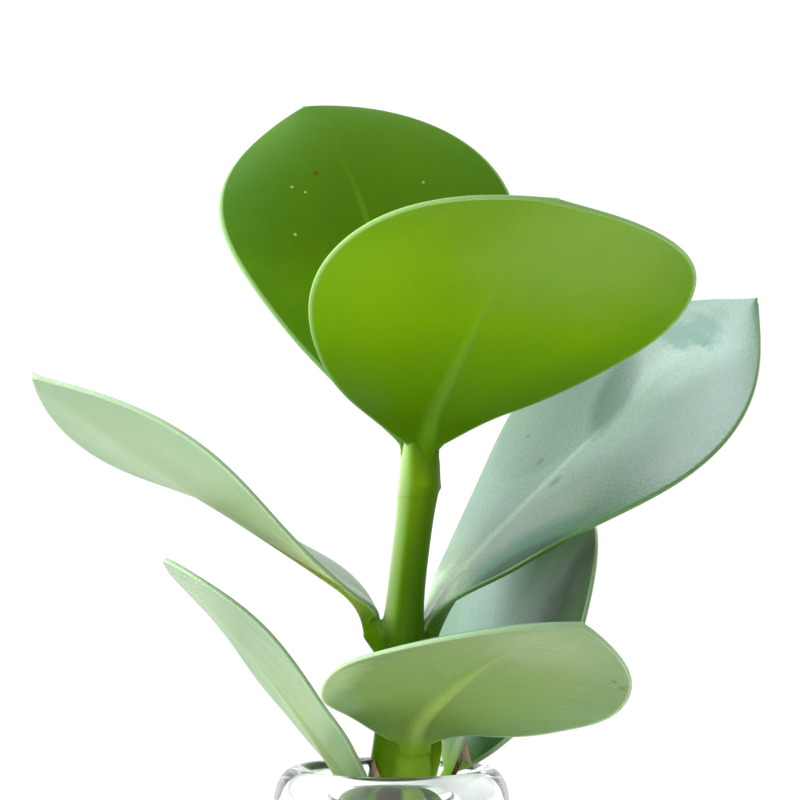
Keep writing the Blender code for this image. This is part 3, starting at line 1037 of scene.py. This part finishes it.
@dataclass(frozen=True)
class GlassFinish:
    """Soda-lime glass, fire-polished: clear and a little wavy, with a faint grey-green where it is thick."""

    name: str = "soda-lime glass, fire-polished"
    ior: float = 1.52
    tint: str = "d2ece2"
    tint_density: float = 6.0
    wave_size: float = 14 * MM
    wave_depth: float = 0.6 * MM

    def material(self) -> bpy.types.Material:
        """Build the glass.

        Returns:
            The material.
        """
        material, graph, place = new_material(self.name)
        wave = graph.uneven(place, self.wave_size, 1.0)
        skin = graph.add_node("BsdfPrincipled", {
            "Base Color": "f6faf7",
            "Roughness": 0.02,
            "IOR": self.ior,
            "Transmission Weight": 0.97,
            "Normal": graph.add_node("Bump", {"Strength": 0.25, "Distance": self.wave_depth, "Height": wave}),
        })
        inside = graph.add_node("VolumeAbsorption", {"Color": self.tint, "Density": self.tint_density})
        graph.add_node("OutputMaterial", {"Surface": skin, "Volume": inside})
        return material


@dataclass
class Bottle:
    """A clear round bottle with a thick rolled lip, a short neck and a round shoulder."""

    finish: GlassFinish = field(default_factory=GlassFinish)
    sides: int = 144
    lip_points: int = 41
    shoulder_points: int = 31
    heel_points: int = 13

    def build(self) -> None:
        """Build the bottle from its inner floor up, over the lip and down the outside, and place it."""
        body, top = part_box("bottle")[1].x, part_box("bottle")[1].z
        mouth = MOUTH_DIAMETER / 2
        inner_body = body - BODY_WALL
        lip_half = (LIP_DIAMETER / 2 - mouth) / 2
        lip = (mouth + lip_half, top - LIP_RISE)
        heel = (inner_body - INNER_HEEL_RADIUS, BASE_THICKNESS + INNER_HEEL_RADIUS)
        foot = (body - HEEL_RADIUS, HEEL_RADIUS)
        inner_radii = (INNER_HEEL_RADIUS, INNER_HEEL_RADIUS)
        profile = [(0, BASE_THICKNESS)]
        profile += arc(heel, inner_radii, -90, 0, self.heel_points)
        profile += shoulder(mouth, inner_body, self.shoulder_points)[::-1]
        profile += arc(lip, (lip_half, LIP_RISE), 180, 0, self.lip_points)
        profile += arc(lip, (lip_half, LIP_RISE), -10, -90, self.lip_points // 3)
        profile += shoulder(mouth + NECK_WALL, body, self.shoulder_points)
        profile += arc(foot, (HEEL_RADIUS, HEEL_RADIUS), 0, -90, self.heel_points)
        profile += [(0, 0)]
        points, faces = revolve(profile, self.sides)
        piece = new_piece("glass_bottle", points, faces, {})
        place_piece(piece, self.finish.material(), "bottle")


@dataclass(frozen=True)
class WaterFinish:
    """Still tap water: clear, with a smooth surface."""

    name: str = "tap water, still"
    ior: float = 1.333

    def material(self) -> bpy.types.Material:
        """Build the water.

        Returns:
            The material.
        """
        material, graph, _ = new_material(self.name)
        inputs = {"Base Color": "ffffff", "Roughness": 0.0, "IOR": self.ior, "Transmission Weight": 1.0}
        graph.add_node("OutputMaterial", {"Surface": graph.add_node("BsdfPrincipled", inputs)})
        return material


@dataclass
class Water:
    """The water, which wets the glass and the stem and climbs a little way up both."""

    finish: WaterFinish = field(default_factory=WaterFinish)
    sides: int = 144
    overlap: float = 0.1 * MM
    climb: float = 1.2 * MM
    climb_reach: float = 1.3 * MM
    surface_points: int = 60
    shoulder_points: int = 24
    heel_points: int = 13

    def build(self) -> None:
        """Build the water from the middle of its surface out and down to the floor, and place it."""
        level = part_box("water")[1].z
        mouth = MOUTH_DIAMETER / 2
        inner_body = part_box("bottle")[1].x - BODY_WALL
        brim = level + self.climb
        edge = shoulder_radius(brim, mouth, inner_body)
        profile = [(0, level)]
        for radius in np.linspace(0.5 * MM, edge, self.surface_points):
            profile.append((radius, level + self.climb * np.exp(-(edge - radius) / self.climb_reach)))
        heights = np.linspace(brim, SHOULDER_BOTTOM, self.shoulder_points)
        profile += [(shoulder_radius(z, mouth, inner_body) + self.overlap, z) for z in heights]
        heel = (inner_body - INNER_HEEL_RADIUS, BASE_THICKNESS + INNER_HEEL_RADIUS)
        heel_radius = INNER_HEEL_RADIUS + self.overlap
        profile += arc(heel, (heel_radius, heel_radius), 0, -90, self.heel_points)
        profile += [(0, BASE_THICKNESS - self.overlap)]
        points, faces = revolve(profile, self.sides)
        centre = stem_centre(level)
        gap = np.hypot(points[:, 0] - centre[0], points[:, 1] - centre[1]) - stem_radius(level)
        near = (points[:, 2] > level - 0.01 * MM) & (gap < edge / 2)
        points[near, 2] += self.climb * np.exp(-np.maximum(gap[near], 0) / self.climb_reach)
        piece = new_piece("still_water", points, faces, {})
        place_piece(piece, self.finish.material(), "water")


@dataclass(frozen=True)
class ScaleFinish:
    """Dried bud scale: thin crumpled papery skin, matt, darker towards its left side."""

    name: str = "dried bud scale, papery"
    pale: str = "c9a79b"
    dark: str = "4a352a"
    fibre_width: float = 0.9 * MM

    def material(self, left: float, right: float) -> bpy.types.Material:
        """Build the dry skin, darker on its left side.

        Args:
            left: The scale's left end.
            right: Its right end.

        Returns:
            The material.
        """
        material, graph, place = new_material(self.name)
        add = graph.add_node
        across = add("SeparateXYZ", (place,), "X")
        fibres = graph.uneven(place, self.fibre_width, 4.0, (1, 1, 3))
        paler = add("MapRange", (across, left, right, -0.35, 0.35), **SMOOTH)
        share = add("Math", (fibres, 0.8, paler), operation="MULTIPLY_ADD")
        skin = add("BsdfPrincipled", {
            "Base Color": add("ValToRGB", (share,), stops=((0.2, self.dark), (0.6, self.pale))),
            "Roughness": 0.8,
            "IOR": 1.45,
            "Normal": add("Bump", {"Strength": 0.5, "Distance": 0.1 * MM, "Height": fibres}),
        })
        add("OutputMaterial", {"Surface": skin})
        return material


@dataclass
class BudScale:
    """A dry bud scale, crumpled and rounded from the solid's flat outline."""

    node: str
    finish: ScaleFinish = field(default_factory=ScaleFinish)
    voxel: float = 0.12 * MM
    rounds: int = 5
    thinning: float = 0.8
    crumple: float = 0.3 * MM

    def build(self) -> None:
        """Build the scale from its solid, with even faces, soft edges and a few folds, and place it."""
        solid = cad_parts[self.node].data
        points = np.array([vertex.co for vertex in solid.vertices])
        middle = (points[:, 1].max() + points[:, 1].min()) / 2
        points[:, 1] = middle + (points[:, 1] - middle) * self.thinning
        faces = [tuple(face.vertices) for face in solid.polygons]
        piece = new_piece("dry_" + self.node, points, faces, {})
        fuse(piece, self.voxel, self.rounds)
        for vertex in piece.data.vertices:
            x, _, z = vertex.co / MM
            vertex.co.y += self.crumple * sin(1.9 * x + 0.8 * z) * cos(1.1 * z)
        low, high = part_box(self.node)
        place_piece(piece, self.finish.material(low.x, high.x), self.node)


@dataclass(frozen=True)
class SoftLight:
    """A soft rectangular light that faces the shoot, with its power in watts."""

    name: str
    place: Triple
    size: Pair
    power: float
    colour: str
    aim: Triple = (0, 0, 180 * MM)

    def build(self) -> None:
        """Add the light to the scene, unseen by the camera."""
        data = bpy.data.lights.new(self.name, "AREA")
        data.shape = "RECTANGLE"
        data.size, data.size_y = self.size
        data.energy = self.power
        data.color = linear(self.colour)[:3]
        light = bpy.data.objects.new(self.name, data)
        light.location = self.place
        way = Vector(self.aim) - light.location
        light.rotation_euler = way.to_track_quat("-Z", "Y").to_euler()
        light.visible_camera = False
        bpy.context.scene.collection.objects.link(light)


@dataclass
class Studio:
    """A white room with soft light from a big window on the left, and the photograph's camera."""

    lights: tuple[SoftLight, ...] = (
        SoftLight("window", (-1.0, -0.02, 0.72), (1.0, 1.5), 24.0, "f8fbff"),
        SoftLight("skylight", (-0.34, 0.34, 1.15), (0.5, 0.4), 2.8, "eef6ff"),
    )
    floor_radius: float = 0.9
    floor_thickness: float = 10 * MM
    floor_sides: int = 96

    def build_camera(self) -> None:
        """Place the camera level in front of the bottle, so that the lip is as wide as in the photograph."""
        px_per_metre = LIP_WIDTH_PX / LIP_DIAMETER
        middle = PHOTO_WIDTH_PX / 2
        data = bpy.data.cameras.new("camera")
        data.sensor_width = SENSOR_MM
        data.lens = SENSOR_MM / PHOTO_WIDTH_PX * px_per_metre * VIEW_DISTANCE
        camera = bpy.data.objects.new("camera", data)
        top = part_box("bottle")[1].z
        camera.location = (
            (middle - BOTTLE_AXIS_PX) / px_per_metre,
            -VIEW_DISTANCE,
            top + (LIP_CREST_PX - middle) / px_per_metre,
        )
        camera.rotation_euler = (pi / 2, 0, 0)
        bpy.context.scene.collection.objects.link(camera)
        bpy.context.scene.camera = camera

    def build_world(self) -> None:
        """A white room, bright behind, on the right and low on both sides, and dimmer at the viewer."""
        world = bpy.data.worlds.new("white room")
        bpy.context.scene.world = world
        graph = Graph(world)
        add = graph.add_node
        place = add("TexCoord", (), "Generated")
        x, y, z = add("SeparateXYZ", (place,)).node.outputs
        behind = add("MapRange", (y, 0.2, 0.95, 0.55, 1.04), **SMOOTH)
        right = add("MapRange", (x, 0.2, 0.9, 1.0, 1.2), **SMOOTH)
        aside = add("MapRange", (add("Math", (x,), operation="ABSOLUTE"), 0.2, 0.5), **SMOOTH)
        beyond = add("MapRange", (y, -0.2, 0.1), **SMOOTH)
        low = add("MapRange", (z, 0.3, 0.1, 0.0, 0.9), **SMOOTH)
        walls = add("Math", (behind, right), operation="MULTIPLY")
        band = add("Math", (add("Math", (aside, beyond), operation="MULTIPLY"), low), operation="MULTIPLY")
        strength = add("Math", (walls, band), operation="ADD")
        glow = add("Background", {"Color": "ffffff", "Strength": strength})
        add("OutputWorld", {"Surface": glow})

    def build_floor(self) -> None:
        """A round white board under the bottle, matt, with faint specks that keep it from looking flat."""
        radius, bottom = self.floor_radius, -self.floor_thickness
        points, faces = revolve([(0, 0), (radius, 0), (radius, bottom), (0, bottom)], self.floor_sides)
        floor = new_piece("floor", points, faces, {})
        material, graph, place = new_material("matt white board")
        speckle = graph.uneven(place, 1.5 * MM)
        white = graph.add_node("ValToRGB", (speckle,), stops=((0.3, "f3f3f2"), (0.7, "f8f8f7")))
        skin = graph.add_node("BsdfPrincipled", {"Base Color": white, "Roughness": 0.9})
        graph.add_node("OutputMaterial", {"Surface": skin})
        floor.data.materials.append(material)

    def build(self) -> None:
        """Set up the room, the lights, the floor and the camera."""
        self.build_world()
        self.build_floor()
        for light in self.lights:
            light.build()
        self.build_camera()
        bpy.context.scene.view_settings.view_transform = "Standard"


YOUNG = LeafFinish(
    name="young clusia leaf, waxed cuticle",
    upper=((0.0, "679702"), (0.42, "659502"), (0.58, "507a06"), (0.75, "4b770b"), (1.0, "4e760e")),
    under=((0.0, "739a00"), (0.3, "79ac00"), (0.52, "83b400"), (0.85, "769f18"), (1.0, "7fa524")),
    stalk="70a400",
    upper_rib="7fae2a",
    under_rib="8cbc30",
    rim_shade="47801c",
    margin="b4dc98",
    specular=0.06,
    grain_amount=0.16,
)
MATURE = LeafFinish(
    name="mature clusia leaf, waxed cuticle with bloom",
    upper=((0.0, "7d9c6a"), (0.4, "6f9880"), (0.7, "688e78"), (1.0, "6f9880")),
    under=((0.0, "7f9a48"), (0.3, "98b87c"), (0.7, "9cbc88"), (1.0, "a4c492")),
    stalk="5c8804",
    upper_rib="a9c49c",
    under_rib="a8c060",
    rim_shade="5f8f6c",
    margin="c4dcae",
    specular=0.2,
)
TOP_BACK = replace(
    YOUNG,
    name="young clusia leaf from above, waxed cuticle",
    patches=(
        # one side lighter and the other darker: painted light and shade
        Patch(70.0, -20.0, 18.0, 11.0, "588612", 0.4, softness=0.7),
        Patch(74.0, 20.0, 16.0, 9.0, "437012", 0.5, softness=0.7),
        Patch(69.9, 6.4, 0.8, 0.6, "5a4a12", softness=0.3),
        *(
            Patch(along, across, long, 0.3, "a4c87c", softness=0.3)
            for along, across, long in (
                (67.5, 12.2, 0.3), (65.3, 10.1, 0.3), (63.1, -13.9, 0.3), (54.8, 15.1, 0.4),
            )
        ),
    ),
)
TOP_FRONT = replace(
    YOUNG,
    name="young clusia leaf from below, waxed cuticle",
    patches=(
        # a brighter zone on the window's side, painted light, and a paler zone near the tip, painted sheen
        Patch(54.0, -32.0, 31.0, 17.0, "8cc000", 0.5, softness=0.7),
        Patch(79.0, 14.0, 22.0, 18.0, "90b850", 0.5, softness=0.7),
    ),
)
MIDDLE_LEFT = replace(
    MATURE,
    name="mature clusia leaf from below, waxed cuticle with bloom",
    upper=((0.0, "869f80"), (1.0, "7f9a88")),
    # the bright yellow stop near the stalk is painted light, where the underside lies in shade
    under=((0.08, "84ae08"), (0.19, "f4fc60"), (0.4, "92aa60"), (0.6, "86a070"), (1.0, "8ea47c")),
    stalk="74a404",
    coat=0.3,
    rib_amount=0.3,
)
MIDDLE_RIGHT = replace(
    MATURE,
    name="mature clusia leaf from above, glossy waxed cuticle",
    specular=0.5,
    coat=0.4,
    coat_roughness=0.25,
    # the pale colours near the stalk are painted highlight
    upper=(
        (0.06, "ecfce0"), (0.14, "dcf4ce"), (0.2, "8cac8a"), (0.3, "7c9b8b"), (0.55, "759481"),
        (0.75, "6a8772"), (1.0, "6f8f7e"),
    ),
    upper_rib="c4dab4",
    wrinkle=0.12 * MM,
    roughness=0.32,
    stalk_faces=StalkFaces.UNDER,
    margin="6f9a3a",
    rib_amount=0.4,
    grain_size=0.7 * MM,
    grain_amount=0.6,
    grain_relief=1.2,
    patches=(
        # painted shadow of the leaves above: a round zone, darker along its inner edge
        Patch(57.0, 16.0, 17.0, 15.0, "5a7a68", 0.3, softness=0.07, ragged=0.1),
        Patch(66.6, 5.8, 11.0, 4.2, "38604a", 0.75, softness=0.35, turn=34, ragged=0.3),
        # the next zone, pale blue-grey near the tip, is painted sheen
        Patch(80.0, -3.0, 9.0, 7.0, "9ab8a8", 0.5, softness=0.7),
        Patch(83.4, 6.0, 2.6, 5.0, "347256", 0.95, ragged=1.8),
        Patch(86.0, 2.6, 2.4, 6.0, "347256", 0.9, ragged=1.8),
        Patch(89.0, 3.4, 1.6, 5.0, "347256", 0.8, ragged=1.4),
        Patch(92.0, 3.2, 1.4, 2.6, "4f7f68", 0.6),
        # a pale zone, painted sheen, and a darker zone towards the tip, painted shade
        Patch(40.0, -16.0, 8.0, 5.0, "9cb8a0", 0.4, softness=0.7),
        Patch(77.0, -19.0, 14.0, 9.0, "567663", 0.5, softness=0.7),
        Patch(50.1, 18.5, 0.6, 0.5, "4c6c5c", 0.7),
        Patch(46.8, 7.4, 1.0, 0.7, "4c6c5c", 0.7),
        Patch(44.8, -3.1, 1.6, 1.2, "4c6c5c", 0.7),
        # dark green along the lower margin: painted shade where the blade curves down
        Patch(29.0, -15.6, 13.0, 4.4, "0c7052", 0.85, softness=0.7, turn=-38, ragged=0.4),
        Patch(27.0, -18.4, 11.0, 2.8, "004a24", 1.0, softness=0.5, turn=-38, ragged=0.3),
    ),
)
LOW_BACK = replace(
    MATURE,
    name="mature clusia leaf in the shade, waxed cuticle",
    specular=0.1,
    stalk="8fc000",
    stalk_end=0.17,
    streak_amount=0.2,
    upper=((0.0, "7fa03c"), (0.25, "76967f"), (0.7, "90a69c"), (1.0, "74946e")),
    rim_shade="3f6f1c",
    patches=(
        # dark green zones: painted shade where the leaf lies behind the others
        Patch(53.0, -31.0, 22.0, 16.5, "225200", 1.0, softness=0.35),
        Patch(20.0, -14.0, 10.0, 8.0, "2c5a24", 0.9),
    ),
)
LOW_FRONT = replace(
    MATURE,
    name="mature clusia leaf from below, old and a little yellow",
    specular=0.1,
    stalk="93bb2c",
    under=((0.0, "8ba63b"), (0.3, "84a455"), (0.7, "889f60"), (1.0, "8fa363")),
    wrinkle=0.2 * MM,
    streak_amount=0.22,
    grain_amount=0.2,
    patches=(
        # the next band, pale on the window's side, is painted light
        Patch(38.0, -28.0, 15.0, 5.0, "b8d090", 0.7, softness=0.6),
        Patch(68.0, 3.0, 12.0, 8.0, "a4b888", 0.5, softness=0.7),
        Patch(69.0, 17.3, 0.8, 0.6, "8a6a40", 0.7),
        Patch(68.4, 19.5, 1.0, 0.7, "8a6a40", 0.7),
        Patch(70.6, 19.7, 0.7, 0.6, "8a6a40", 0.7),
    ),
)
LOW_LEFT = replace(
    MATURE,
    name="mature clusia leaf from below, pale with bloom",
    # darker than the other undersides: painted shade that offsets the stronger window light on this leaf
    under=(
        (0.1, "839e50"), (0.25, "869d66"), (0.45, "829a66"), (0.7, "738f64"), (0.86, "8aa278"),
        (1.0, "98ac84"),
    ),
    rib_amount=0.2,
)

LEAVES = (
    Leaf(LeafForm(
        node="leaf_top_back",
        base=(3.8 * MM, 0.6 * MM, 173.4 * MM),
        azimuth=116, sweep=4.5, start=87, rise=74, curl=-49,
        length=92.7 * MM, width=59.7 * MM,
        roll=(-7, -19), fold=(14, 0), cup=(13, 18), channel=18,
        wedge=0.8, rounding=1.46, tip=0.63, lean=-0.05,
        stalk_width=4 * MM, stalk_depth=3.4 * MM, stalk_heel=1,
        phase=0.4,
    ), TOP_BACK, Age.YOUNG),
    Leaf(LeafForm(
        node="leaf_top_front",
        base=(6.2 * MM, -0.5 * MM, 173.4 * MM),
        azimuth=-74.3, sweep=3.8, start=98, rise=32.4, curl=-12.3,
        length=95 * MM, width=69.7 * MM,
        roll=(0.5, -8), fold=(1, 7), cup=(15, 12), channel=11,
        wedge=0.65, rounding=2.33, tip=0.57, lean=0.03,
        stalk_width=6.2 * MM, stalk_depth=3.4 * MM, stalk_heel=1,
        phase=1.7,
    ), TOP_FRONT, Age.YOUNG),
    Leaf(LeafForm(
        node="leaf_middle_left",
        base=(-0.9 * MM, -0.8 * MM, 141.3 * MM),
        azimuth=200.6, sweep=-1, start=84, rise=29, curl=9.6,
        length=90.5 * MM, width=67 * MM,
        roll=(-20, 13), fold=(9, 9), cup=(14, 10), channel=4,
        wedge=0.64, rounding=2.62, tip=1.12, lean=0.02,
        stalk_depth=4.16 * MM, rib_runout=3.5,
        phase=2.9,
    ), MIDDLE_LEFT, Age.MATURE),
    Leaf(LeafForm(
        node="leaf_middle_right",
        base=(2.95 * MM, 0.8 * MM, 140.8 * MM),
        azimuth=10.9, sweep=0, start=69.7, rise=45.7, curl=-10.4,
        length=99.5 * MM, width=67.4 * MM,
        roll=(3, 30.5), fold=(6, 8), cup=(15, 12.5),
        wedge=0.81, rounding=3, tip=1.13,
        stalk_depth=4.5 * MM,
        nicks=(Nick(side=-1, at=0.22, reach=0.08, depth=-0.085),),
        phase=4.1,
    ), MIDDLE_RIGHT, Age.MATURE),
    Leaf(LeafForm(
        node="leaf_low_back",
        base=(3.6 * MM, 2.2 * MM, 111.9 * MM),
        azimuth=32.2, sweep=-30.2, start=27.7, rise=66.6, curl=-15.6,
        length=67.9 * MM, width=66.2 * MM,
        roll=(-7, 21), fold=(-1.5, 15), cup=(25, -5.5), channel=7.5,
        wedge=0.65, rounding=2.83, tip=0.54, lean=-0.06,
        stalk_width=5.2 * MM, stalk_length=11 * MM, stalk_depth=2.2 * MM,
        phase=5.0,
    ), LOW_BACK, Age.MATURE),
    Leaf(LeafForm(
        node="leaf_low_front",
        base=(4 * MM, -2.4 * MM, 117.2 * MM),
        azimuth=-71, sweep=8.2, start=103, rise=24, curl=-17,
        length=87.2 * MM, width=54.8 * MM,
        roll=(-11.6, -14.6), fold=(-5.7, -6.6), cup=(16.4, 20.2), channel=16.6,
        wedge=0.59, rounding=1.58, tip=0.59, lean=-0.1,
        stalk_width=7.6 * MM, stalk_depth=3.8 * MM,
        phase=0.9,
    ), LOW_FRONT, Age.MATURE),
    Leaf(LeafForm(
        node="leaf_low_left",
        base=(-0.8 * MM, -0.5 * MM, 108.5 * MM),
        azimuth=172.4, sweep=-6, start=50.5, rise=55.2, curl=-16,
        length=66 * MM, width=61.5 * MM,
        roll=(25.5, 15.5), fold=(13, 5), cup=(14, 10.7), channel=41.5,
        wedge=0.94, rounding=2.59, tip=0.51, lean=0.13,
        stalk_width=6.6 * MM, stalk_length=5 * MM, stalk_depth=3 * MM,
        phase=3.6,
    ), LOW_LEFT, Age.MATURE),
)


def main() -> None:
    """Build and dress each piece, then set up the room and the camera."""
    logging.basicConfig(level=logging.INFO, format="%(name)s: %(message)s")
    Studio().build()
    scales = (BudScale("bud_scale_left"), BudScale("bud_scale_right"))
    for part in (*LEAVES, Stem(LEAVES), Bottle(), Water(), *scales):
        part.build()


if __name__ == "__main__":
    main()
